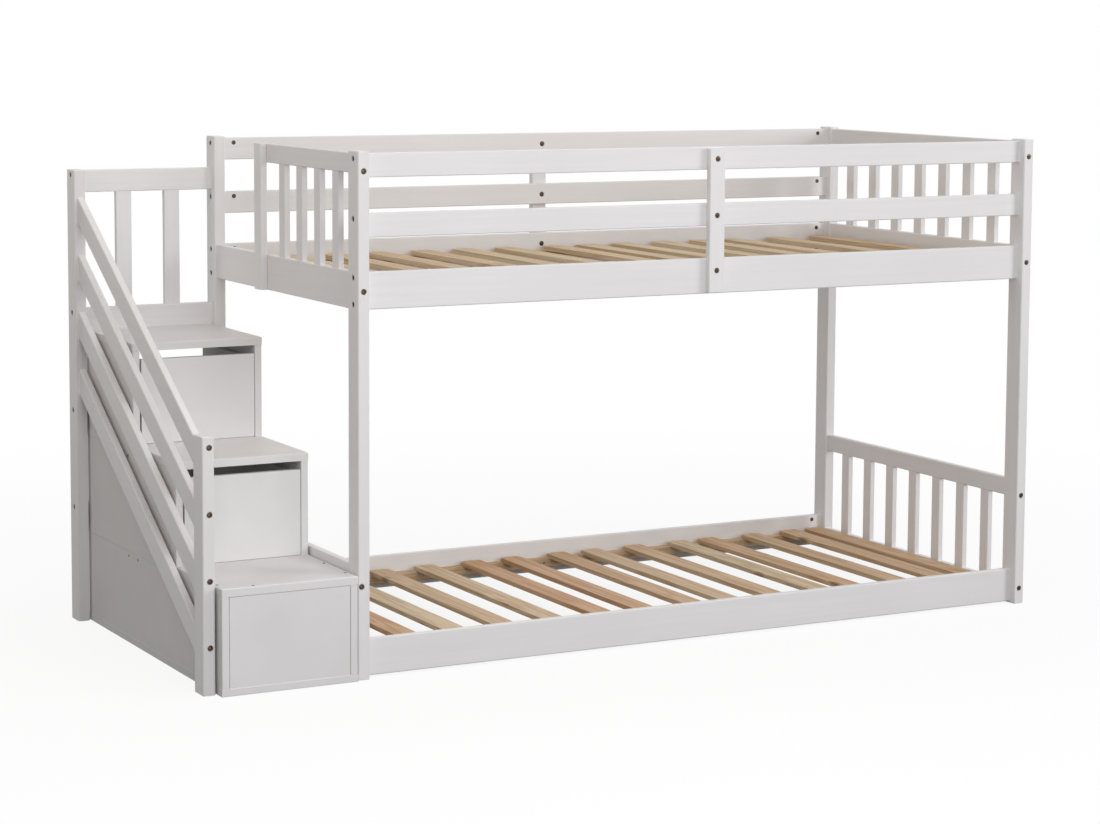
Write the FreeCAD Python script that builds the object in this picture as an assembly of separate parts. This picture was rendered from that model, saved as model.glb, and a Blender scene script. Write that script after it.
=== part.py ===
import FreeCAD, Part
import math
import os

# Bunk bed with a drawer staircase at its left end. All sizes are in millimetres.
# X runs along the bed, Y from the front to the back, Z up from the floor.
# Pieces are placed from the bed's front left corner, then saved about the middle of the floor outline.

# Bed frame: posts, rails and boards
bed_length = 1992.0
bed_width = 988.0
post_height = 1270.0
post_width = 30.0
post_depth = 58.0
rail_thickness = 18.0
guard_rail_height = 58.0
side_rail_height = 90.0
end_rail_height = 48.0
top_rail_drop = 5.0
guard_gap = 85.0
deck_gap = 82.0
lower_rail_lift = 5.0
lower_end_rail_top = 341.0
lower_end_board_top = 55.0
left_lower_rail_top = 278.0
edge_ease = 2.0

# Upright slats of the end panels and the battens that tie the guard rails together
end_slat_width = 36.0
end_slat_thickness = 15.0
end_slat_count = 7
guard_slat_count = 4
slat_tenon = 12.0
batten_width = 45.0
batten_thickness = 18.0
batten_inset = 4.0
entry_width = 308.0

# Slatted decks
slat_width = 60.0
slat_thickness = 12.0
slat_corner = 10.0
slat_drop = 36.0
slat_end_gap = 8.0
foot_slat_gap = 7.0
upper_slat_pitch = 132.0
upper_slat_shifts = (0, -22, -42, -23, -19, -21, -4, 23, 0, 0, 5)
lower_slat_pitch = 135.0
lower_foot_pitch = 97.0
lower_slat_shifts = (0, 6, 6, -12, 20, 5, 1, 24, 10, 20, 9, 3, -2)
cleat_depth = 25.0
cleat_height = 24.0
cleat_end_gap = 10.0

# Staircase: step cabinet, posts and sloping rails
step_width = 348.5
step_count = 3
top_step_drop = 212.5
step_going = 300.0
step_overhang = 7.0
step_gap_to_bed = 3.0
step_gap_to_post = 5.5
panel_thickness = 18.0
left_panel_inset = 0.5
right_panel_inset = 2.0
tread_thickness = 20.0
arris = 1.0
tread_round = 3.0
front_panel_recess = 1.0
front_panel_gap = 1.2
front_panel_right_gap = 0.6
stretcher_width = 110.0
stretcher_height = 25.0
stair_post_drop = 82.0
stair_front_post_height = 613.0
stair_front_post_setback = 28.0
handrail_drop_front = 21.0
handrail_drop_back = 72.0
sloping_rail_width = 58.0
sloping_rail_inset = 9.0
sloping_rail_pitch = 149.0
sloping_rail_count = 4
stair_top_rail_drop = 1.0
cross_rail_height = 66.0
cross_rail_drop = 8.5
stair_slat_width = 42.0
stair_slat_count = 2

# Drawers in the second and third step
drawer_left_gap = 5.0
drawer_right_gap = 1.5
drawer_foot_gap = 0.7
drawer_glide_gap = 0.3
drawer_recess = 1.5
finger_gap = 21.5
drawer_side_thickness = 12.0
drawer_side_drop = 8.0
drawer_back_drop = 60.0
drawer_back_gap = 20.0
drawer_bottom_thickness = 6.0
drawer_bottom_lift = 10.0
drawer_groove = 5.0

# Recesses for the heads of the connector bolts
head_recess_radius = 7.5
head_recess_depth = 6.0
recess_flats = 12
bolt_edge = 13.0
end_bolt_edge = 6.0
left_lower_bolt_drop = 50.0
batten_bolt_drop = 30.5
slope_bolt_drop = 26.0
slope_bolt_pitch = 158.0
slope_bolt_inset = 33.0

AXIS_X = FreeCAD.Vector(1, 0, 0)
AXIS_Y = FreeCAD.Vector(0, 1, 0)
AXIS_Z = FreeCAD.Vector(0, 0, 1)

solids = {}
cuts = {}


def point(x, y, z):
    return FreeCAD.Vector(x, y, z)


def add(name, *shapes):
    """Keep the solids of one piece, or of one group of like pieces, under its name."""
    solids[name] = list(shapes)
    cuts[name] = []


def edges_along(shape, run):
    """Straight edges of a shape that lie along a direction."""
    return [edge for edge in shape.Edges if abs(edge.Curve.Direction.dot(run)) > 0.99]


def box(low, high):
    return Part.makeBox(high.x - low.x, high.y - low.y, high.z - low.z, low)


def board(low, high, run, ease):
    """Straight board between two corners, with the four edges along its run eased."""
    blank = box(low, high)
    return blank.makeChamfer(ease, edges_along(blank, run))


def upright(low, high, ease):
    """Post or panel that stands on its foot, with its upright edges and its top eased."""
    blank = box(low, high)
    return blank.makeChamfer(ease, [edge for edge in blank.Edges if edge.BoundBox.ZMax > high.z - ease])


def post(x, y, height):
    return upright(point(x, y, 0), point(x + post_width, y + post_depth, height), edge_ease)


def tread(low, high, open_depth):
    """Step board with rounded edges where it is open, and square under the box that stands on it."""
    nose_back = low.y + open_depth
    nose = box(low, point(high.x, nose_back, high.z))
    rounded = []
    for edge in nose.Edges:
        on_top = edge.BoundBox.ZMin > high.z - tread_round
        stands = edge.BoundBox.ZLength > tread_round
        if edge.BoundBox.YMin < nose_back - tread_round and (on_top or stands):
            rounded.append(edge)
    nose = nose.makeFillet(tread_round, rounded)
    if nose_back >= high.y:
        return nose
    return nose.fuse(box(point(low.x, nose_back, low.z), high)).removeSplitter()


def bolt_recess(name, mouth, direction):
    """Recess for a bolt head, sunk into a piece from a point on its face.

    There are dozens of them, so each is drawn with a few flats in place of a round wall.
    """
    turns = [2 * math.pi * i / recess_flats for i in range(recess_flats + 1)]
    ring = [point(head_recess_radius * math.cos(a), head_recess_radius * math.sin(a), 0) for a in turns]
    recess = Part.Face(Part.makePolygon(ring)).extrude(AXIS_Z * head_recess_depth)
    recess.Placement = FreeCAD.Placement(mouth, FreeCAD.Rotation(AXIS_Z, direction))
    cuts[name].append(recess)


def evenly(start, end, count, width):
    """Middles of pieces that share a span with equal gaps between them and at both ends."""
    gap = (end - start - count * width) / (count + 1)
    return [start + gap + width / 2 + i * (gap + width) for i in range(count)]


# Levels and faces that several pieces share
top_rail_top = post_height - top_rail_drop
mid_rail_top = top_rail_top - guard_rail_height - guard_gap
upper_rail_top = mid_rail_top - guard_rail_height - deck_gap
upper_rail_bottom = upper_rail_top - side_rail_height
lower_rail_top = lower_rail_lift + side_rail_height
bed_back_post_y = bed_width - post_depth
front_rail_y = post_depth / 2
back_rail_y = bed_width - post_depth / 2
left_rail_x = post_width / 2
right_rail_x = bed_length - post_width / 2
half_rail = rail_thickness / 2

# Bed posts
for side, y in (("front", 0), ("back", bed_back_post_y)):
    add(f"post_{side}_left", post(0, y, post_height))
    add(f"post_{side}_right", post(bed_length - post_width, y, post_height))

# Long rails of the front and the back: bolted into the left and right posts
long_rails = (
    ("guard_top_rail", top_rail_top, guard_rail_height, [bolt_edge]),
    ("guard_mid_rail", mid_rail_top, guard_rail_height, [bolt_edge]),
    ("upper_side_rail", upper_rail_top, side_rail_height, [bolt_edge, side_rail_height - bolt_edge]),
    ("lower_side_rail", lower_rail_top, side_rail_height, [bolt_edge, side_rail_height - bolt_edge]),
)
for side, rail_y in (("front", front_rail_y), ("back", back_rail_y)):
    for rail, top, height, bolt_drops in long_rails:
        low = point(post_width, rail_y - half_rail, top - height)
        high = point(bed_length - post_width, rail_y + half_rail, top)
        add(f"{side}_{rail}", board(low, high, AXIS_X, edge_ease))
        for drop in bolt_drops:
            bolt_recess(f"post_{side}_left", point(0, rail_y, top - drop), AXIS_X)
            bolt_recess(f"post_{side}_right", point(bed_length, rail_y, top - drop), AXIS_X * -1)

# Battens on the outside of the guards, at mid length: the front one is bolted from the front of the bed,
# and the back one from the inside, through the back rails
batten_x = (bed_length - batten_width) / 2
batten_bottom = upper_rail_bottom + batten_inset
batten_top = top_rail_top - batten_inset
front_face_y = front_rail_y - half_rail
back_face_y = back_rail_y + half_rail
low = point(batten_x, front_face_y - batten_thickness, batten_bottom)
high = point(batten_x + batten_width, front_face_y, batten_top)
add("front_guard_batten", board(low, high, AXIS_Z, edge_ease))
low = point(batten_x, back_face_y, batten_bottom)
high = point(batten_x + batten_width, back_face_y + batten_thickness, batten_top)
add("back_guard_batten", board(low, high, AXIS_Z, edge_ease))
for rail, top, height, bolt_drops in long_rails[:3]:
    z = top - batten_bolt_drop
    bolt_recess("front_guard_batten", point(bed_length / 2, front_face_y - batten_thickness, z), AXIS_Y)
    bolt_recess(f"back_{rail}", point(bed_length / 2, back_rail_y - half_rail, z), AXIS_Y)


def end_rail(name, rail_x, top, height, end_y, bolt_drop, posts):
    """Cross rail at one end of the bed, bolted into the named posts through their front or back."""
    low = point(rail_x - half_rail, post_depth, top - height)
    high = point(rail_x + half_rail, end_y, top)
    add(name, board(low, high, AXIS_Y, edge_ease))
    for post_name in posts:
        if "front" in post_name:
            bolt_recess(post_name, point(rail_x, 0, top - bolt_drop), AXIS_Y)
        else:
            bolt_recess(post_name, point(rail_x, bed_width, top - bolt_drop), AXIS_Y * -1)


def upright_slats(name, middles, rail_x, bottom, top, below, above):
    """Upright slats let into mortises in the board below them and the rail above them."""
    slats = []
    for y in middles:
        low = point(rail_x - end_slat_thickness / 2, y - end_slat_width / 2, bottom - slat_tenon)
        high = point(rail_x + end_slat_thickness / 2, y + end_slat_width / 2, top + slat_tenon)
        slats.append(board(low, high, AXIS_Z, arris))
    add(name, *slats)
    cuts[below] += slats
    cuts[above] += slats


# Cross rails and boards of both ends
narrow_bolt = end_rail_height - end_bolt_edge
board_bolt = side_rail_height / 2
left_posts = ("post_front_left", "post_back_left")
right_posts = ("post_front_right", "post_back_right")
batten_y = bed_back_post_y - entry_width - batten_width
guard_end_y = batten_y + batten_width
end_rail("right_upper_end_top_rail", right_rail_x, top_rail_top, end_rail_height, bed_back_post_y,
         narrow_bolt, right_posts)
end_rail("right_upper_end_board", right_rail_x, upper_rail_top, side_rail_height, bed_back_post_y,
         board_bolt, right_posts)
end_rail("right_lower_end_top_rail", right_rail_x, lower_end_rail_top, end_rail_height, bed_back_post_y,
         narrow_bolt, right_posts)
end_rail("right_lower_end_board", right_rail_x, lower_end_board_top, end_rail_height, bed_back_post_y,
         bolt_edge, right_posts)
end_rail("left_upper_end_board", left_rail_x, upper_rail_top, side_rail_height, bed_back_post_y,
         board_bolt, left_posts)
end_rail("left_lower_end_rail", half_rail, left_lower_rail_top, side_rail_height, bed_back_post_y,
         left_lower_bolt_drop, left_posts)
end_rail("left_guard_top_rail", left_rail_x, top_rail_top, end_rail_height, guard_end_y,
         narrow_bolt, left_posts[:1])

# Upright slats of the end panels, and of the short guard beside the entry
top_end_bottom = top_rail_top - end_rail_height
lower_end_bottom = lower_end_rail_top - end_rail_height
full_middles = evenly(post_depth, bed_back_post_y, end_slat_count, end_slat_width)
guard_middles = evenly(post_depth, batten_y, guard_slat_count, end_slat_width)
upright_slats("right_upper_end_slats", full_middles, right_rail_x, upper_rail_top, top_end_bottom,
              "right_upper_end_board", "right_upper_end_top_rail")
upright_slats("right_lower_end_slats", full_middles, right_rail_x, lower_end_board_top, lower_end_bottom,
              "right_lower_end_board", "right_lower_end_top_rail")
upright_slats("left_guard_slats", guard_middles, left_rail_x, upper_rail_top, top_end_bottom,
              "left_upper_end_board", "left_guard_top_rail")

# Upright batten that closes the short guard, bolted from inside the bed
guard_face_x = left_rail_x - half_rail
low = point(guard_face_x - batten_thickness, batten_y, upper_rail_bottom)
high = point(guard_face_x, guard_end_y, top_rail_top)
add("left_guard_batten", board(low, high, AXIS_Z, edge_ease))
for rail, top in (("left_guard_top_rail", top_rail_top), ("left_upper_end_board", upper_rail_top)):
    mouth = point(left_rail_x + half_rail, batten_y + batten_width / 2, top - batten_bolt_drop)
    bolt_recess(rail, mouth, AXIS_X * -1)


def deck_slat(x, top):
    """Loose deck slat lying across both cleats, with rounded corners."""
    width_low = front_rail_y + half_rail + slat_end_gap
    width_high = back_rail_y - half_rail - slat_end_gap
    low = point(x - slat_width / 2, width_low, top - slat_thickness)
    high = point(x + slat_width / 2, width_high, top)
    blank = box(low, high)
    return blank.makeFillet(slat_corner, edges_along(blank, AXIS_Z))


def deck(level, rail_top, foot_pitch, pitch, shifts):
    """Cleats on the inside of both side rails, and the slats laid on them from the foot end.

    The slats are loose, and the shifts tell how far some of them lie from their even places.
    """
    slat_top = rail_top - slat_drop
    cleat_top = slat_top - slat_thickness
    cleat_start = post_width + cleat_end_gap
    cleat_end = bed_length - post_width - cleat_end_gap
    cleats = []
    for y in (front_rail_y + half_rail, back_rail_y - half_rail - cleat_depth):
        low = point(cleat_start, y, cleat_top - cleat_height)
        high = point(cleat_end, y + cleat_depth, cleat_top)
        cleats.append(board(low, high, AXIS_X, arris))
    add(f"{level}_deck_cleats", *cleats)
    last = bed_length - post_width - foot_slat_gap - slat_width / 2
    first = post_width + foot_slat_gap + slat_width / 2
    middles = [last]
    x = last - foot_pitch
    while x >= first:
        middles.append(x)
        x -= pitch
    all_shifts = list(shifts) + [0] * len(middles)
    add(f"{level}_deck_slats", *[deck_slat(x + shift, slat_top) for x, shift in zip(middles, all_shifts)])


deck("upper", upper_rail_top, upper_slat_pitch, upper_slat_pitch, upper_slat_shifts)
deck("lower", lower_rail_top, lower_foot_pitch, lower_slat_pitch, lower_slat_shifts)

# Places of the step cabinet and of the stair posts
step_rise = (upper_rail_top - top_step_drop) / step_count
step_right = -step_gap_to_bed
step_left = step_right - step_width
stair_post_x = step_left - step_gap_to_post - post_width
stair_rail_x = stair_post_x + sloping_rail_inset + half_rail
step_back = back_rail_y - half_rail
stair_front_post_y = stair_front_post_setback - step_overhang
stair_back_post_height = post_height - stair_post_drop
panel_left = step_left + left_panel_inset + panel_thickness
panel_right = step_right - right_panel_inset - panel_thickness


def step_front(level):
    return (level - 1) * step_going - step_overhang


def step_top(level):
    return level * step_rise


# Step cabinet: three stacked boxes, each closed by a tread that carries the next box
base_high = point(step_right, step_back, panel_thickness)
add("step_1_base", board(point(step_left, step_front(1), 0), base_high, AXIS_X, arris))
for level in range(1, step_count + 1):
    bottom = panel_thickness if level == 1 else step_top(level - 1)
    under_tread = step_top(level) - tread_thickness
    for side, x in (("left", panel_left - panel_thickness), ("right", panel_right)):
        low = point(x, step_front(level), bottom)
        high = point(x + panel_thickness, step_back, under_tread)
        add(f"step_{level}_{side}_panel", upright(low, high, arris))
    low = point(step_left, step_front(level), under_tread)
    high = point(step_right, step_back, step_top(level))
    open_depth = step_going if level < step_count else high.y - low.y
    add(f"step_{level}_tread", tread(low, high, open_depth))

# Fixed front of the first box, and the stretchers under two treads, below the front of the third box
low = point(panel_left + front_panel_gap, step_front(1) + front_panel_recess, panel_thickness)
front_panel_top = step_top(1) - tread_thickness - front_panel_gap
high = point(panel_right - front_panel_right_gap, low.y + panel_thickness, front_panel_top)
add("step_1_front_panel", upright(low, high, arris))
stretcher_y = step_front(step_count) + panel_thickness
for level in (1, 2):
    stretcher_top = step_top(level) - tread_thickness
    low = point(panel_left, stretcher_y - stretcher_width / 2, stretcher_top - stretcher_height)
    high = point(panel_right, stretcher_y + stretcher_width / 2, stretcher_top)
    add(f"step_{level}_stretcher", board(low, high, AXIS_X, arris))

# Drawers: a front, a box of two sides and a lower back, and a bottom held in grooves
for name, level in (("lower_drawer", 2), ("upper_drawer", 3)):
    floor_z = step_top(level - 1)
    left = panel_left + drawer_left_gap
    right = panel_right - drawer_right_gap
    front_y = step_front(level) + drawer_recess
    inside_y = front_y + panel_thickness
    back_y = step_back - drawer_back_gap
    side_low = floor_z + drawer_glide_gap
    front_top = step_top(level) - tread_thickness - finger_gap
    side_high = front_top - drawer_side_drop
    inner_left = left + drawer_side_thickness
    inner_right = right - drawer_side_thickness
    back_inside_y = back_y - drawer_side_thickness
    bottom_z = side_low + drawer_bottom_lift
    front_low = point(left, front_y, floor_z + drawer_foot_gap)
    front_high = point(right, inside_y, front_top)
    add(f"{name}_front", board(front_low, front_high, AXIS_X, arris))
    add(f"{name}_sides",
        board(point(left, inside_y, side_low), point(inner_left, back_y, side_high), AXIS_Y, arris),
        board(point(inner_right, inside_y, side_low), point(right, back_y, side_high), AXIS_Y, arris))
    back_high = point(inner_right, back_y, front_top - drawer_back_drop)
    add(f"{name}_back", board(point(inner_left, back_inside_y, side_low), back_high, AXIS_X, arris))
    bottom = Part.makeBox(
        inner_right - inner_left + 2 * drawer_groove,
        back_inside_y - inside_y + 2 * drawer_groove,
        drawer_bottom_thickness,
        point(inner_left - drawer_groove, inside_y - drawer_groove, bottom_z),
    )
    add(f"{name}_bottom", bottom)
    for piece in ("front", "sides", "back"):
        cuts[f"{name}_{piece}"].append(bottom)

# Stair posts
add("stair_back_post", post(stair_post_x, bed_back_post_y, stair_back_post_height))
add("stair_front_post", post(stair_post_x, stair_front_post_y, stair_front_post_height))

# Sloping rails between the stair posts: the handrail and the parallel rails below it
slope_start_y = stair_front_post_y + post_depth
slope_end_y = bed_back_post_y
handrail_front_z = stair_front_post_height - handrail_drop_front
handrail_back_z = stair_back_post_height - handrail_drop_back
slope = (handrail_back_z - handrail_front_z) / (slope_end_y - slope_start_y)
upright_height = sloping_rail_width * math.sqrt(1 + slope * slope)


def sloping_rail(drop):
    """Sloping rail with upright ends that butt on the two stair posts."""
    x = stair_rail_x - half_rail
    front_z = handrail_front_z - drop
    back_z = handrail_back_z - drop
    outline = [
        point(x, slope_start_y, front_z),
        point(x, slope_end_y, back_z),
        point(x, slope_end_y, back_z - upright_height),
        point(x, slope_start_y, front_z - upright_height),
        point(x, slope_start_y, front_z),
    ]
    blank = Part.Face(Part.makePolygon(outline)).extrude(AXIS_X * rail_thickness)
    run = point(0, slope_end_y - slope_start_y, back_z - front_z).normalize()
    return blank.makeChamfer(edge_ease, edges_along(blank, run))


rail_drops = [i * sloping_rail_pitch for i in range(sloping_rail_count)]
add("stair_handrail", sloping_rail(rail_drops[0]))
add("stair_side_rails", *[sloping_rail(drop) for drop in rail_drops[1:]])
for i, drop in enumerate(rail_drops):
    front_bolt_z = stair_front_post_height - slope_bolt_drop - i * slope_bolt_pitch
    back_bolt_z = handrail_back_z - drop - upright_height / 2 - slope * slope_bolt_inset
    bolt_recess("stair_front_post", point(stair_rail_x, stair_front_post_y, front_bolt_z), AXIS_Y)
    bolt_recess("stair_back_post", point(stair_rail_x, bed_width, back_bolt_z), AXIS_Y * -1)

# Back frame of the stairs: rails from the stair's back post to the bed's back left post
stair_rail_start = stair_post_x + post_width
stair_top = stair_back_post_height - stair_top_rail_drop
cross_tops = [step_top(level) - cross_rail_drop + cross_rail_height for level in range(1, step_count + 1)]


def stair_back_rail(top, height):
    low = point(stair_rail_start, back_rail_y - half_rail, top - height)
    high = point(0, back_rail_y + half_rail, top)
    return board(low, high, AXIS_X, edge_ease)


add("stair_back_top_rail", stair_back_rail(stair_top, guard_rail_height))
add("stair_back_cross_rails", *[stair_back_rail(top, cross_rail_height) for top in cross_tops])
for top in [stair_top] + cross_tops:
    bolt_recess("stair_back_post", point(stair_post_x, back_rail_y, top - bolt_edge), AXIS_X)

# Wide slats of the back frame, let into the top rail and the highest cross rail
stair_slats = []
for x in evenly(stair_rail_start, 0, stair_slat_count, stair_slat_width):
    low = point(x - stair_slat_width / 2, back_rail_y - end_slat_thickness / 2, cross_tops[-1] - slat_tenon)
    high = point(x + stair_slat_width / 2, back_rail_y + end_slat_thickness / 2,
                 stair_top - guard_rail_height + slat_tenon)
    stair_slats.append(board(low, high, AXIS_Z, arris))
add("stair_back_slats", *stair_slats)
cuts["stair_back_top_rail"] += stair_slats
cuts["stair_back_cross_rails"] += stair_slats

# Drill and save every piece about the middle of the floor outline
middle = point((stair_post_x + bed_length) / 2, (bed_width - step_overhang) / 2, 0)
os.makedirs("parts", exist_ok=True)
for name, shapes in solids.items():
    finished = [shape.cut(cuts[name]) if cuts[name] else shape for shape in shapes]
    group = finished[0] if len(finished) == 1 else Part.makeCompound(finished)
    group.translate(middle * -1)
    group.exportStep(f"parts/{name}.step")
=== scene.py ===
import math

import bpy
from mathutils import Matrix, Vector


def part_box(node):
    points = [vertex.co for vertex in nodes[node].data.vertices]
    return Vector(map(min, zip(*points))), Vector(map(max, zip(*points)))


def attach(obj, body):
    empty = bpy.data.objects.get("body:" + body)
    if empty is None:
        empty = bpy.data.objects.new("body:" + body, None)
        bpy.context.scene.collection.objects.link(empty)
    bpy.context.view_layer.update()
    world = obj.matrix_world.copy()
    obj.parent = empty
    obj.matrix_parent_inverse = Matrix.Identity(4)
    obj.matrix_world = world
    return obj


# Bunk bed with a drawer staircase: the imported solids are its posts, boards, slats and drawers.
# Lengths are in metres. +X runs along the bed, +Y to its back, +Z up.
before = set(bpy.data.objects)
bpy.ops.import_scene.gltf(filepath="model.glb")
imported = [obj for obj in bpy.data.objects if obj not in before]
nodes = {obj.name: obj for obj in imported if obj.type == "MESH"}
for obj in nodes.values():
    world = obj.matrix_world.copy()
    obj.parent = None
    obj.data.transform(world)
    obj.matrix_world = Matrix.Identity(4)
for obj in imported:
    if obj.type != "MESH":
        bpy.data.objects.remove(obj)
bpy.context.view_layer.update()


# Posts: four for the bed and two for the stairs, planed from pine and sprayed with satin white paint.
# They stand on the floor and take the bolts of every rail. The paint levels out most of the grain, so
# the eye gets a soft sheen, a very faint streak along the wood and slightly fuller paint in places.
def linear(colour):
    """Linear red, green, blue and alpha of a hex colour, by the curve of the sRGB standard."""
    channels = [int(colour[i:i + 2], 16) / 255 for i in (1, 3, 5)]
    return [c / 12.92 if c <= 0.04045 else ((c + 0.055) / 1.055) ** 2.4 for c in channels] + [1.0]


def add_node(material, kind, settings=None, links=None):
    """Add a shader node, set its inputs and properties, and link sockets of other nodes into it."""
    tree = material.node_tree
    node = tree.nodes.new(kind)
    for key, value in (settings or {}).items():
        if isinstance(key, int) or key in node.inputs:
            node.inputs[key].default_value = value
        else:
            setattr(node, key, value)
    for key, (source, socket) in (links or {}).items():
        tree.links.new(source.outputs[socket], node.inputs[key])
    return node


def new_material(name):
    """Node material with its surface shader."""
    material = bpy.data.materials.new(name)
    material.use_nodes = True
    return material, material.node_tree.nodes["Principled BSDF"]


def wire(material, source, socket, shader, target):
    """Link a node's output into an input of a shader."""
    material.node_tree.links.new(source.outputs[socket], shader.inputs[target])


def two_tones(material, source, socket, low_place, low_colour, high_place, high_colour):
    """Colours that run from one hex value to another as a pattern's value rises."""
    ramp = add_node(material, "ShaderNodeValToRGB", {}, {"Fac": (source, socket)})
    low, high = ramp.color_ramp.elements
    low.position = low_place
    low.color = linear(low_colour)
    high.position = high_place
    high.color = linear(high_colour)
    return ramp


def dress(names, material):
    """Give CAD nodes a material in place of the plain one they were packed with."""
    for name in names:
        slots = nodes[name].data.materials
        slots.clear()
        slots.append(material)


def satin_painted_pine(run):
    """Satin white paint on pine whose grain runs along one axis, 0 to 2 for X to Z."""
    material, shader = new_material("satin_painted_pine_" + "xyz"[run])
    streak_width = 0.012
    streak_length = 0.400
    cloud_size = 0.350
    scale = [1 / streak_width] * 3
    scale[run] = 1 / streak_length
    place = add_node(material, "ShaderNodeTexCoord")
    grain_place = add_node(material, "ShaderNodeMapping", {"Scale": scale},
                           {"Vector": (place, "Object")})
    grain = add_node(material, "ShaderNodeTexNoise", {"Scale": 1.0, "Detail": 3.0, "Roughness": 0.55},
                     {"Vector": (grain_place, "Vector")})
    cloud = add_node(material, "ShaderNodeTexNoise", {"Scale": 1 / cloud_size, "Detail": 1.0},
                     {"Vector": (place, "Object")})
    coat = add_node(material, "ShaderNodeMath", {"operation": "MULTIPLY"},
                    {0: (grain, "Fac"), 1: (cloud, "Fac")})
    tone = two_tones(material, coat, "Value", low_place=0.12, low_colour="#E4E2E2",
                     high_place=0.42, high_colour="#E9E7E8")
    sheen = add_node(material, "ShaderNodeMapRange", {"To Min": 0.42, "To Max": 0.54},
                     {"Value": (cloud, "Fac")})
    relief = add_node(material, "ShaderNodeBump", {"Strength": 0.05, "Distance": 0.0006},
                      {"Height": (grain, "Fac")})
    wire(material, tone, "Color", shader, "Base Color")
    wire(material, sheen, "Result", shader, "Roughness")
    wire(material, relief, "Normal", shader, "Normal")
    shader.inputs["IOR"].default_value = 1.48
    return material


painted_upright = satin_painted_pine(run=2)
dress([name for name in nodes if name.startswith("post_") or name.endswith("_post")], painted_upright)


# Long rails: eight pine boards between the end posts, four on each side, with the same satin paint.
# Their grain runs along the bed. The battens at mid length tie each side's three upper boards together.
painted_along_bed = satin_painted_pine(run=0)
long_rails = ("guard_top_rail", "guard_mid_rail", "upper_side_rail", "lower_side_rail")
dress([f"{side}_{rail}" for side in ("front", "back") for rail in long_rails], painted_along_bed)
dress(["front_guard_batten", "back_guard_batten"], painted_upright)


# Ends of the bed: pine cross rails and boards with upright slats let into them, painted with the frame.
# The guard on the left stops short of the back post and leaves the way in from the stairs.
painted_across_bed = satin_painted_pine(run=1)
end_slats = ("right_upper_end_slats", "right_lower_end_slats", "left_guard_slats")
end_rails = [name for name in nodes if name.startswith(("right_", "left_")) and name not in end_slats]
dress(end_rails, painted_across_bed)
dress(end_slats + ("left_guard_batten",), painted_upright)


# Sides of the stairs: four sloping rails between the stair posts, the top one a handrail, and a back
# frame of level rails with two wide slats, all in the same painted pine.
dress(["stair_handrail", "stair_side_rails"], painted_across_bed)
dress(["stair_back_top_rail", "stair_back_cross_rails"], painted_along_bed)
dress(["stair_back_slats"], painted_upright)


# Step cabinet and drawer fronts: pressed board, cut square and sprayed with a matted white lacquer.
# It is smoother and duller than the paint on the pine: it mirrors little even at a low angle, and a
# fine orange-peel ripple and a faint unevenness in the white remain.
def lacquered_board(name, shade, light, ripple_size):
    """Matted coat on pressed board, uneven between two hex colours, with a ripple of one size."""
    material, shader = new_material(name)
    cloud_size = 0.180
    place = add_node(material, "ShaderNodeTexCoord")
    cloud = add_node(material, "ShaderNodeTexNoise", {"Scale": 1 / cloud_size, "Detail": 2.0},
                     {"Vector": (place, "Object")})
    tone = two_tones(material, cloud, "Fac", low_place=0.35, low_colour=shade,
                     high_place=0.65, high_colour=light)
    ripple = add_node(material, "ShaderNodeTexNoise", {"Scale": 1 / ripple_size, "Detail": 1.0},
                      {"Vector": (place, "Object")})
    relief = add_node(material, "ShaderNodeBump", {"Strength": 0.03, "Distance": 0.0004},
                      {"Height": (ripple, "Fac")})
    wire(material, tone, "Color", shader, "Base Color")
    wire(material, relief, "Normal", shader, "Normal")
    shader.inputs["Roughness"].default_value = 0.50
    shader.inputs["IOR"].default_value = 1.50
    shader.inputs["Specular IOR Level"].default_value = 0.08
    return material


white_lacquer = lacquered_board("white_lacquered_board", shade="#E2E0E0", light="#E6E4E5",
                                ripple_size=0.004)
dress([name for name in nodes if name.startswith("step_")], white_lacquer)
dress(["lower_drawer_front", "upper_drawer_front"], white_lacquer)


# Drawer boxes: sides, back and bottom of foil-covered board, joined behind the lacquered fronts.
# The bottom lies in grooves. The foil is a duller and creamier white than the lacquer.
cream_foil = lacquered_board("cream_foil_board", shade="#E0DED8", light="#E5E3DD", ripple_size=0.002)
drawer_box = ("sides", "back", "bottom")
dress([f"{drawer}_drawer_{piece}" for drawer in ("lower", "upper") for piece in drawer_box], cream_foil)


# Decks: loose slats of bare pine that lie across the bed on two pine cleats, which are screwed to the
# side rails. The wood is planed and unsealed: growth rings run along each piece, each slat is more or
# less red, as it was sawn nearer to the heart of the trunk or to the bark, and there are a few knots.

# A mix node has sockets of one name for numbers, vectors and colours, so they go by number here.
mix_share = 0
mix_first = 6
mix_second = 7
mix_result = 2


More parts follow.
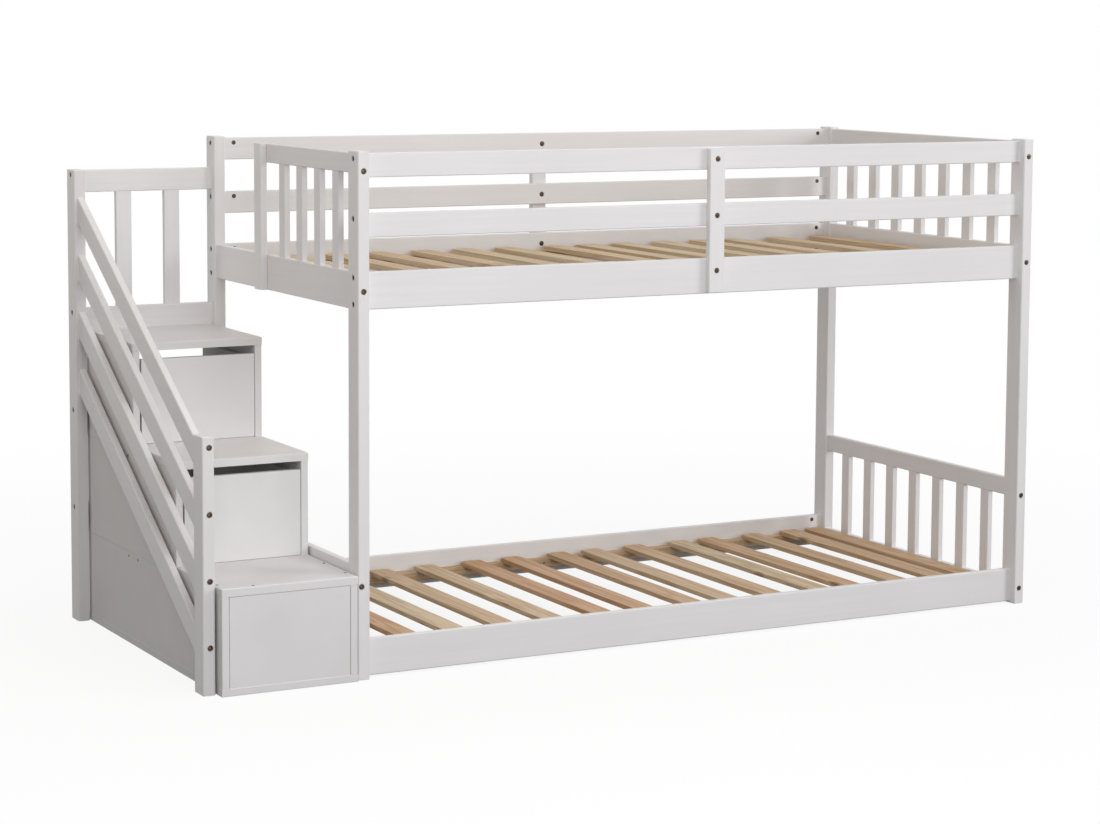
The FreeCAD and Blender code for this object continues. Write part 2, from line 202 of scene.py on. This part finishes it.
def bare_pine(name, run, across, start, pitch, redness):
    """Pine with its grain along one axis, and a list of rednesses set out along another at a pitch."""
    material, shader = new_material(name)
    ring_width = 0.0065
    ring_length = 0.600
    ring_spread = 9.0
    knot_spacing = 0.160
    knot_stretch = 2.2
    slat_shift = 40.0

    # Each slat's number sets its redness, and moves the pattern so that no two slats are alike.
    place = add_node(material, "ShaderNodeTexCoord")
    axes = add_node(material, "ShaderNodeSeparateXYZ", {}, {"Vector": (place, "Object")})
    count = add_node(material, "ShaderNodeMath",
                     {"operation": "MULTIPLY_ADD", 1: 1 / pitch, 2: 0.5 - start / pitch},
                     {0: (axes, "XYZ"[across])})
    index = add_node(material, "ShaderNodeMath", {"operation": "FLOOR"}, {0: (count, "Value")})
    order = add_node(material, "ShaderNodeMath",
                     {"operation": "MULTIPLY_ADD", 1: 1 / len(redness), 2: 0.5 / len(redness)},
                     {0: (index, "Value")})
    red = add_node(material, "ShaderNodeValToRGB", {}, {"Fac": (order, "Value")})
    steps = red.color_ramp
    steps.interpolation = "CONSTANT"
    steps.elements.remove(steps.elements[-1])
    for i, share in enumerate(redness):
        step = steps.elements[0] if i == 0 else steps.elements.new(i / len(redness))
        step.color = (share, share, share, 1.0)
    chance = add_node(material, "ShaderNodeTexWhiteNoise", {"noise_dimensions": "1D"},
                      {"W": (index, "Value")})
    shift = add_node(material, "ShaderNodeVectorMath", {"operation": "SCALE", "Scale": slat_shift},
                     {0: (chance, "Color")})
    moved = add_node(material, "ShaderNodeVectorMath", {"operation": "ADD"},
                     {0: (place, "Object"), 1: (shift, "Vector")})

    # Knots are drawn out along the grain: the heart is dark, and the rings bend round it.
    knot_scale = [1 / knot_spacing] * 3
    knot_scale[run] = 1 / (knot_spacing * knot_stretch)
    knot_place = add_node(material, "ShaderNodeMapping", {"Scale": knot_scale},
                          {"Vector": (moved, "Vector")})
    knot = add_node(material, "ShaderNodeTexVoronoi", {"Scale": 1.0},
                    {"Vector": (knot_place, "Vector")})
    bend = add_node(material, "ShaderNodeMapRange",
                    {"From Min": 0.05, "From Max": 0.45, "To Min": 2.2, "To Max": 0.0},
                    {"Value": (knot, "Distance")})
    heart = add_node(material, "ShaderNodeMapRange",
                     {"From Min": 0.045, "From Max": 0.105, "To Min": 0.85, "To Max": 0.0},
                     {"Value": (knot, "Distance")})

    # Growth rings run along the grain, with a slight relief.
    ring_scale = [1 / ring_width] * 3
    ring_scale[run] = 1 / ring_length
    ring_place = add_node(material, "ShaderNodeMapping", {"Scale": ring_scale},
                          {"Vector": (moved, "Vector")})
    ring_noise = add_node(material, "ShaderNodeTexNoise", {"Scale": 0.35, "Detail": 2.0},
                          {"Vector": (ring_place, "Vector")})
    ring_sum = add_node(material, "ShaderNodeMath", {"operation": "MULTIPLY_ADD", 1: ring_spread},
                        {0: (ring_noise, "Fac"), 2: (bend, "Result")})
    rings = add_node(material, "ShaderNodeMath", {"operation": "PINGPONG", 1: 1.0},
                     {0: (ring_sum, "Value")})

    # Pale wood from the bark's side and redder wood from the heart's side are mixed by the redness.
    bark_side = two_tones(material, rings, "Value", low_place=0.15, low_colour="#DCC8A8",
                          high_place=0.95, high_colour="#C7AC86")
    heart_side = two_tones(material, rings, "Value", low_place=0.15, low_colour="#CFA57C",
                           high_place=0.95, high_colour="#B98659")
    wood = add_node(material, "ShaderNodeMix", {"data_type": "RGBA"},
                    {mix_share: (red, "Color"), mix_first: (bark_side, "Color"),
                     mix_second: (heart_side, "Color")})
    knotty = add_node(material, "ShaderNodeMix", {"data_type": "RGBA", mix_second: linear("#80502F")},
                      {mix_share: (heart, "Result"), mix_first: (wood, mix_result)})
    relief = add_node(material, "ShaderNodeBump", {"Strength": 0.12, "Distance": 0.0005},
                      {"Height": (rings, "Value")})
    wire(material, knotty, mix_result, shader, "Base Color")
    wire(material, relief, "Normal", shader, "Normal")
    shader.inputs["Roughness"].default_value = 0.62
    shader.inputs["IOR"].default_value = 1.50
    return material


# The slats lie loose, and the first one of each deck has slid a little from its even place.
slat_width = 0.060
slat_stray = 0.009
slat_pitches = {"upper": 0.132, "lower": 0.135}
slat_redness = {
    "upper": (0.1, 0.0, 0.2, 0.2, 0.3, 0.0, 0.05, 0.2, 0.05, 0.1, 0.0, 0.15, 0.1, 0.05, 0.3),
    "lower": (0.5, 0.9, 0.1, 0.4, 0.25, 0.9, 0.8, 0.55, 0.3, 0.45, 0.1, 0.7, 0.4, 0.5, 0.55),
}
cleat_redness = (0.35, 0.35)
for deck, pitch in slat_pitches.items():
    first_slat_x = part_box(f"{deck}_deck_slats")[0][0] + slat_width / 2 - slat_stray
    slat_pine = bare_pine(f"bare_pine_{deck}_slats", run=1, across=0, start=first_slat_x,
                          pitch=pitch, redness=slat_redness[deck])
    dress([f"{deck}_deck_slats"], slat_pine)
    low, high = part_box(f"{deck}_deck_cleats")
    cleat_pine = bare_pine(f"bare_pine_{deck}_cleats", run=0, across=1, start=low[1],
                           pitch=high[1] - low[1], redness=cleat_redness)
    dress([f"{deck}_deck_cleats"], cleat_pine)


# Connector bolts: steel bolts with a flat head, bronzed in a hot bath to a dark brown, and with a
# hexagon socket whose faces take a lighter steel as a painted glint. They are sunk into the posts and
# battens and drawn up on barrel nuts inside the rails, and only the heads show, in their recesses.
def bronzed_steel(name, dark, bright):
    """Bronzed steel with small patches between two hex colours."""
    material, shader = new_material(name)
    patch_size = 0.003
    place = add_node(material, "ShaderNodeTexCoord")
    patch = add_node(material, "ShaderNodeTexNoise", {"Scale": 1 / patch_size, "Detail": 2.0},
                     {"Vector": (place, "Object")})
    tone = two_tones(material, patch, "Fac", low_place=0.35, low_colour=dark,
                     high_place=0.70, high_colour=bright)
    wire(material, tone, "Color", shader, "Base Color")
    shader.inputs["Metallic"].default_value = 1.0
    shader.inputs["Roughness"].default_value = 0.38
    return material


def cut_with(piece, cutter):
    """Cut one mesh out of another and throw it away. Its material, if it has one, stays on the cut."""
    change = piece.modifiers.new("cut", "BOOLEAN")
    change.operation = "DIFFERENCE"
    change.material_mode = "TRANSFER" if cutter.data.materials else "INDEX"
    change.object = cutter
    bpy.context.view_layer.objects.active = piece
    bpy.ops.object.modifier_apply(modifier=change.name)
    bpy.data.objects.remove(cutter)


def set_out(pattern, name, places):
    """Copy a small piece that looks up along Z to every place and direction, all as one object."""
    smooth_below = math.radians(35)
    copies = []
    for spot, direction in places:
        copy = pattern.copy()
        copy.data = pattern.data.copy()
        turn = Vector(direction).to_track_quat("Z", "Y").to_matrix().to_4x4()
        copy.data.transform(Matrix.Translation(spot) @ turn)
        bpy.context.collection.objects.link(copy)
        copies.append(copy)
    bpy.data.objects.remove(pattern)
    bpy.ops.object.select_all(action="DESELECT")
    for copy in copies:
        copy.select_set(True)
    bpy.context.view_layer.objects.active = copies[0]
    bpy.ops.object.join()
    group = bpy.context.object
    group.name = name
    bpy.ops.object.shade_smooth_by_angle(angle=smooth_below)
    return group


head_radius = 0.0065
head_height = 0.0045
recess_depth = 0.006
rim_bevel = 0.0008
socket_width = 0.005
socket_depth = 0.003
bpy.ops.object.select_all(action="DESELECT")
bpy.ops.mesh.primitive_cylinder_add(vertices=24, radius=head_radius, depth=head_height,
                                    location=(0, 0, head_height / 2 - recess_depth))
bolt_head = bpy.context.object
bolt_head.data.materials.append(bronzed_steel("bronzed_steel", dark="#362B25", bright="#6B5A4D"))
bpy.ops.object.transform_apply(location=True)
rim = bolt_head.modifiers.new("rim", "BEVEL")
rim.width = rim_bevel
rim.segments = 2
bpy.ops.object.modifier_apply(modifier="rim")
bpy.ops.mesh.primitive_cylinder_add(vertices=6, radius=socket_width / math.sqrt(3),
                                    depth=2 * socket_depth,
                                    location=(0, 0, head_height - recess_depth))
socket = bpy.context.object
# The socket's cut faces get a lighter steel: a painted glint in the socket, not wear.
socket.data.materials.append(bronzed_steel("socket_painted_glint_steel", dark="#6B5B4E", bright="#8E7B6C"))
cut_with(bolt_head, socket)

# Bolts through the end posts into the long rails, with a nut in each rail, and through the battens.
bolt_places = []
nut_places = []
nut_inset = 0.033
rail_bolt_edge = 0.013
batten_bolt_drop = 0.0305
for side, inward in (("front", 1), ("back", -1)):
    for rail in long_rails:
        low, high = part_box(f"{side}_{rail}")
        heights = [high[2] - rail_bolt_edge]
        if rail.endswith("side_rail"):
            heights.append(low[2] + rail_bolt_edge)
        rail_y = (low[1] + high[1]) / 2
        inner_y = high[1] if inward > 0 else low[1]
        left_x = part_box(f"post_{side}_left")[0][0]
        right_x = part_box(f"post_{side}_right")[1][0]
        for z in heights:
            bolt_places.append(((left_x, rail_y, z), (-1, 0, 0)))
            bolt_places.append(((right_x, rail_y, z), (1, 0, 0)))
            nut_places.append(((low[0] + nut_inset, inner_y, z), (0, inward, 0)))
            nut_places.append(((high[0] - nut_inset, inner_y, z), (0, inward, 0)))
        if rail != "lower_side_rail":
            middle_x = (low[0] + high[0]) / 2
            mouth_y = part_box("front_guard_batten")[0][1] if side == "front" else low[1]
            bolt_places.append(((middle_x, mouth_y, high[2] - batten_bolt_drop), (0, -1, 0)))

# Bolts through the posts into the cross rails and boards of the ends.
end_bolt_drops = {
    "right_upper_end_top_rail": 0.042,
    "right_upper_end_board": 0.045,
    "right_lower_end_top_rail": 0.042,
    "right_lower_end_board": 0.013,
    "left_upper_end_board": 0.045,
    "left_lower_end_rail": 0.050,
    "left_guard_top_rail": 0.042,
}
for rail, drop in end_bolt_drops.items():
    low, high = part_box(rail)
    end = rail.split("_")[0]
    rail_x = (low[0] + high[0]) / 2
    z = high[2] - drop
    front_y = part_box(f"post_front_{end}")[0][1]
    bolt_places.append(((rail_x, front_y, z), (0, -1, 0)))
    nut_places.append(((high[0], low[1] + nut_inset, z), (1, 0, 0)))
    if rail != "left_guard_top_rail":
        back_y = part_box(f"post_back_{end}")[1][1]
        bolt_places.append(((rail_x, back_y, z), (0, 1, 0)))
        nut_places.append(((high[0], high[1] - nut_inset, z), (1, 0, 0)))

# Bolts from the inside into the batten that closes the guard on the left.
guard_low, guard_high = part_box("left_guard_batten")
for rail in ("left_guard_top_rail", "left_upper_end_board"):
    low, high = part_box(rail)
    middle_y = (guard_low[1] + guard_high[1]) / 2
    bolt_places.append(((high[0], middle_y, high[2] - batten_bolt_drop), (1, 0, 0)))

# Bolts through the stair posts into the sloping rails. A rail's slope and the height of its upright
# cut depend on each other, so both are worked out in a few rounds.
front_low, front_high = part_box("stair_front_post")
back_low, back_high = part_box("stair_back_post")
rail_low, rail_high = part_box("stair_handrail")
sloping_rail_count = 4
sloping_rail_pitch = 0.149
sloping_rail_width = 0.058
front_bolt_drop = 0.026
front_bolt_pitch = 0.158
sloping_run = rail_high[1] - rail_low[1]
upright_height = sloping_rail_width
slope_rounds = 8
for attempt in range(slope_rounds):
    slope = (rail_high[2] - rail_low[2] - upright_height) / sloping_run
    upright_height = sloping_rail_width * math.sqrt(1 + slope * slope)
sloping_rail_x = (rail_low[0] + rail_high[0]) / 2
for i in range(sloping_rail_count):
    front_z = front_high[2] - front_bolt_drop - i * front_bolt_pitch
    back_z = rail_high[2] - upright_height / 2 - slope * nut_inset - i * sloping_rail_pitch
    bolt_places.append(((sloping_rail_x, front_low[1], front_z), (0, -1, 0)))
    bolt_places.append(((sloping_rail_x, back_high[1], back_z), (0, 1, 0)))
    nut_places.append(((rail_high[0], rail_low[1] + nut_inset, front_z), (1, 0, 0)))
    nut_places.append(((rail_high[0], rail_high[1] - nut_inset, back_z), (1, 0, 0)))

# Bolts through the stair's back post into the level rails of the back frame.
top_low, top_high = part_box("stair_back_top_rail")
cross_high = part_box("stair_back_cross_rails")[1]
step_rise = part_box("step_2_tread")[1][2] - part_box("step_1_tread")[1][2]
for top in (top_high[2], cross_high[2], cross_high[2] - step_rise, cross_high[2] - 2 * step_rise):
    z = top - rail_bolt_edge
    bolt_places.append(((back_low[0], (top_low[1] + top_high[1]) / 2, z), (-1, 0, 0)))
    nut_places.append(((top_low[0] + nut_inset, top_high[1], z), (0, 1, 0)))

bolts = set_out(bolt_head, "connector_bolts", bolt_places)
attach(bolts, "frame")


# Barrel nuts: short bronzed steel cylinders set crosswise in the rails, where the bolts end.
# Their slotted ends stand a hair proud of the face of the rail that is hidden from outside the bed,
# and the slots stop short of that face, because the rails have no holes for the nuts.
nut_radius = 0.0058
nut_depth = 0.0030
nut_proud = 0.0006
slot_width = 0.0014
slot_depth = 0.0004
bpy.ops.object.select_all(action="DESELECT")
bpy.ops.mesh.primitive_cylinder_add(vertices=24, radius=nut_radius, depth=nut_depth,
                                    location=(0, 0, nut_proud - nut_depth / 2))
nut_end = bpy.context.object
nut_end.data.materials.append(bronzed_steel("bronzed_steel_nut", dark="#3E332E", bright="#6E5B50"))
bpy.ops.object.transform_apply(location=True)
bpy.ops.mesh.primitive_cube_add(size=1, location=(0, 0, nut_proud),
                                scale=(3 * nut_radius, slot_width, 2 * slot_depth))
cut_with(nut_end, bpy.context.object)
nuts = set_out(nut_end, "barrel_nuts", nut_places)
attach(nuts, "frame")


# Wood screws: zinc-plated countersunk screws that hold the first tread, the stretchers of the step
# cabinet and the deck cleats. Their cross-slotted heads lie nearly flush on the boards, which have no
# holes for them, and the zinc is a cloudy grey.
def zinc_plate(name):
    """Zinc-plated steel with clouds in two greys."""
    material, shader = new_material(name)
    cloud_size = 0.002
    place = add_node(material, "ShaderNodeTexCoord")
    cloud = add_node(material, "ShaderNodeTexNoise", {"Scale": 1 / cloud_size, "Detail": 2.0},
                     {"Vector": (place, "Object")})
    tone = two_tones(material, cloud, "Fac", low_place=0.0, low_colour="#55534F",
                     high_place=1.0, high_colour="#85827C")
    wire(material, tone, "Color", shader, "Base Color")
    shader.inputs["Metallic"].default_value = 1.0
    shader.inputs["Roughness"].default_value = 0.35
    return material


screw_radius = 0.0036
screw_depth = 0.0020
screw_proud = 0.0005
cross_length = 0.0047
cross_width = 0.0011
cross_depth = 0.0003
bpy.ops.object.select_all(action="DESELECT")
bpy.ops.mesh.primitive_cylinder_add(vertices=16, radius=screw_radius, depth=screw_depth,
                                    location=(0, 0, screw_proud - screw_depth / 2))
screw_head = bpy.context.object
screw_head.data.materials.append(zinc_plate("zinc_plated_steel"))
bpy.ops.object.transform_apply(location=True)
for size in ((cross_length, cross_width), (cross_width, cross_length)):
    bpy.ops.mesh.primitive_cube_add(size=1, location=(0, 0, screw_proud),
                                    scale=(*size, 2 * cross_depth))
    cut_with(screw_head, bpy.context.object)

# Screws down through the first tread into the panels under it.
screw_places = []
tread_low, tread_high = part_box("step_1_tread")
tread_screw_setbacks = (0.053, 0.181)
for panel in ("step_1_left_panel", "step_1_right_panel"):
    low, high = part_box(panel)
    panel_x = (low[0] + high[0]) / 2
    for setback in tread_screw_setbacks:
        screw_places.append(((panel_x, tread_low[1] + setback, tread_high[2]), (0, 0, 1)))
low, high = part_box("step_1_front_panel")
front_screw_inset = 0.063
panel_y = (low[1] + high[1]) / 2
screw_places.append(((low[0] + front_screw_inset, panel_y, tread_high[2]), (0, 0, 1)))

# Pairs of screws through the side panels into the stretchers.
stretcher_screw_spacing = 0.067
stretcher_screw_shift = -0.009
for level in (1, 2):
    low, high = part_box(f"step_{level}_stretcher")
    middle_y = (low[1] + high[1]) / 2 + stretcher_screw_shift
    z = (low[2] + high[2]) / 2
    left_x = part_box(f"step_{level}_left_panel")[0][0]
    right_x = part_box(f"step_{level}_right_panel")[1][0]
    for y in (middle_y - stretcher_screw_spacing / 2, middle_y + stretcher_screw_spacing / 2):
        screw_places.append(((left_x, y, z), (-1, 0, 0)))
        screw_places.append(((right_x, y, z), (1, 0, 0)))

# A row of screws through each deck cleat into its side rail.
cleat_depth = 0.025
cleat_screw_count = 5
for deck in ("upper", "lower"):
    low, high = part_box(f"{deck}_deck_cleats")
    spacing = (high[0] - low[0]) / cleat_screw_count
    z = (low[2] + high[2]) / 2
    for i in range(cleat_screw_count):
        x = low[0] + (i + 0.5) * spacing
        screw_places.append(((x, low[1] + cleat_depth, z), (0, 1, 0)))
        screw_places.append(((x, high[1] - cleat_depth, z), (0, -1, 0)))
screws = set_out(screw_head, "wood_screws", screw_places)
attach(screws, "frame")


# Studio floor: a pale seamless paper sweep. Seen directly or mirrored it fades to plain white away from
# the bed, and it keeps a soft shadow close to it. For the light that it throws back it is a dull grey.
def seen_or_mirrored(material):
    """One where a backdrop is seen directly, mirrored in metal or through glass, and else nought."""
    rays = add_node(material, "ShaderNodeLightPath")
    mirrored = add_node(material, "ShaderNodeMath", {"operation": "MAXIMUM"},
                        {0: (rays, "Is Glossy Ray"), 1: (rays, "Is Transmission Ray")})
    return add_node(material, "ShaderNodeMath", {"operation": "MAXIMUM"},
                    {0: (rays, "Is Camera Ray"), 1: (mirrored, "Value")})


floor_material, floor_shader = new_material("pale_paper_floor")
floor_shader.inputs["Roughness"].default_value = 0.9
seen = seen_or_mirrored(floor_material)
bounce_grey = linear("#808080")
paper_white = linear("#F6F6F6")
paper = add_node(floor_material, "ShaderNodeMix",
                 {"data_type": "RGBA", mix_first: bounce_grey, mix_second: paper_white},
                 {mix_share: (seen, "Value")})
wire(floor_material, paper, mix_result, floor_shader, "Base Color")
place = add_node(floor_material, "ShaderNodeTexCoord")
reach = add_node(floor_material, "ShaderNodeVectorMath", {"operation": "LENGTH"},
                 {0: (place, "Object")})
fade_start = 1.2
fade_end = 3.6
near_white = 0.88
fade = add_node(floor_material, "ShaderNodeMapRange",
                {"From Min": fade_start, "From Max": fade_end, "To Min": near_white, "To Max": 1.0},
                {"Value": (reach, "Value")})
share = add_node(floor_material, "ShaderNodeMath", {"operation": "MULTIPLY"},
                 {0: (seen, "Value"), 1: (fade, "Result")})
white = add_node(floor_material, "ShaderNodeEmission", {"Color": linear("#FFFFFF"), "Strength": 1.0})
sweep = add_node(floor_material, "ShaderNodeMixShader", {},
                 {0: (share, "Value"), 1: (floor_shader, "BSDF"), 2: (white, "Emission")})
wire(floor_material, sweep, "Shader", floor_material.node_tree.nodes["Material Output"], "Surface")

floor_size = 60.0
floor_drop = 0.0005
bpy.ops.object.select_all(action="DESELECT")
bpy.ops.mesh.primitive_plane_add(size=floor_size, location=(0, 0, -floor_drop))
floor = bpy.context.object
floor.name = "studio_floor"
floor.data.materials.append(floor_material)


# Studio light: dim white walls all round, and soft lamps over the bed, in front of it and on its
# right. A small warmer one high on the left lights the bed's upper end more than the foot of the
# stairs, and a long low one behind gives the drawer boxes some light from the back.
world = bpy.data.worlds.new("white_studio")
world.use_nodes = True
bpy.context.scene.world = world
walls = world.node_tree.nodes["Background"]
walls.inputs["Color"].default_value = linear("#FFFFFF")
walls.inputs["Strength"].default_value = 0.39
backdrop = add_node(world, "ShaderNodeBackground", {"Color": linear("#FFFFFF"), "Strength": 1.0})
direct = seen_or_mirrored(world)
both = add_node(world, "ShaderNodeMixShader", {},
                {0: (direct, "Value"), 1: (walls, "Background"), 2: (backdrop, "Background")})
wire(world, both, "Shader", world.node_tree.nodes["World Output"], "Surface")

# Each lamp: its name, colour, power in watts, width and height, place, and the point it looks at.
softboxes = (
    ("overhead_softbox", "#FFFFFF", 39.0, (5.0, 4.0), (0.3, -0.6, 4.4), (0.0, 0.0, 0.4)),
    ("front_softbox", "#FFFFFF", 41.0, (2.5, 1.6), (-1.0, -3.4, 1.6), (-0.6, 0.0, 0.5)),
    ("right_softbox", "#FFFFFF", 155.0, (2.5, 2.5), (5.0, -4.5, 2.6), (0.0, 0.0, 0.6)),
    ("left_softbox", "#FFF1DE", 6.8, (1.2, 1.2), (-2.4, 0.0, 2.2), (-0.9, 0.0, 0.9)),
    ("back_softbox", "#FFFFFF", 30.0, (5.0, 1.4), (0.4, 4.5, 0.8), (-0.2, 0.0, 0.5)),
)
for name, colour, watts, (width, height), spot, target in softboxes:
    lamp_data = bpy.data.lights.new(name, "AREA")
    lamp_data.shape = "RECTANGLE"
    lamp_data.size = width
    lamp_data.size_y = height
    lamp_data.energy = watts
    lamp_data.color = linear(colour)[:3]
    lamp = bpy.data.objects.new(name, lamp_data)
    lamp.location = spot
    lamp.rotation_euler = (Vector(target) - lamp.location).to_track_quat("-Z", "Y").to_euler()
    lamp.visible_camera = False
    bpy.context.collection.objects.link(lamp)


# Camera: a long lens on a stand, a little above the upper bunk and well to the left of the bed.
# It looks slightly down, and its shift only sets the bed in the photograph's frame.
camera_place = Vector((-3.4441, -6.3845, 1.5674))
camera_yaw = math.radians(28.174)
camera_pitch = math.radians(5.727)
camera_roll = math.radians(0.331)
ahead = Vector((math.sin(camera_yaw) * math.cos(camera_pitch),
                math.cos(camera_yaw) * math.cos(camera_pitch), -math.sin(camera_pitch)))
level_right = Vector((math.cos(camera_yaw), -math.sin(camera_yaw), 0))
level_up = level_right.cross(ahead)
right = math.cos(camera_roll) * level_right + math.sin(camera_roll) * level_up
up = math.cos(camera_roll) * level_up - math.sin(camera_roll) * level_right
camera_data = bpy.data.cameras.new("studio_camera")
camera_data.lens = 89.55
camera_data.sensor_width = 36.0
camera_data.shift_y = -0.1018
camera = bpy.data.objects.new("studio_camera", camera_data)
camera_turn = Matrix((right, up, -ahead)).transposed().to_4x4()
camera.matrix_world = Matrix.Translation(camera_place) @ camera_turn
bpy.context.collection.objects.link(camera)
scene = bpy.context.scene
scene.camera = camera
scene.view_settings.view_transform = "Standard"
